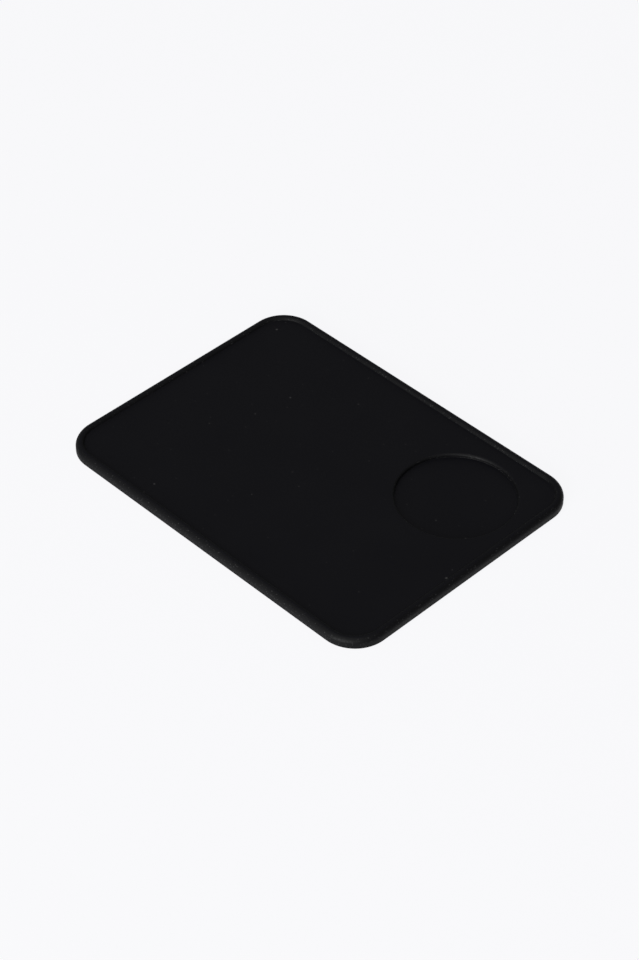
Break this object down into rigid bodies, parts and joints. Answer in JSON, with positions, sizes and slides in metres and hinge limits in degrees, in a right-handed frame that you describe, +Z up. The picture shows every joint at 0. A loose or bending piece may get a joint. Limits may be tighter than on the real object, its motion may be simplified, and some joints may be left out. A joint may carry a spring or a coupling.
{
  "type": "tamper mat",
  "caption": "Flat rectangular rubber tray mat with rounded corners, a beaded rim all round and a shallow round seat for a tamper.",
  "frame": {"origin": "middle of the flat underside", "axes": "+X along the long side, towards the end with the tamper seat; +Y along the short side, towards the edge nearer the seat; +Z up"},
  "size_m": [0.2, 0.15, 0.0052],
  "materials": {
    "silicone": "matte black moulded silicone"
  },
  "bodies": {
    "root": {"mat": "silicone"}
  },
  "joints": []
}
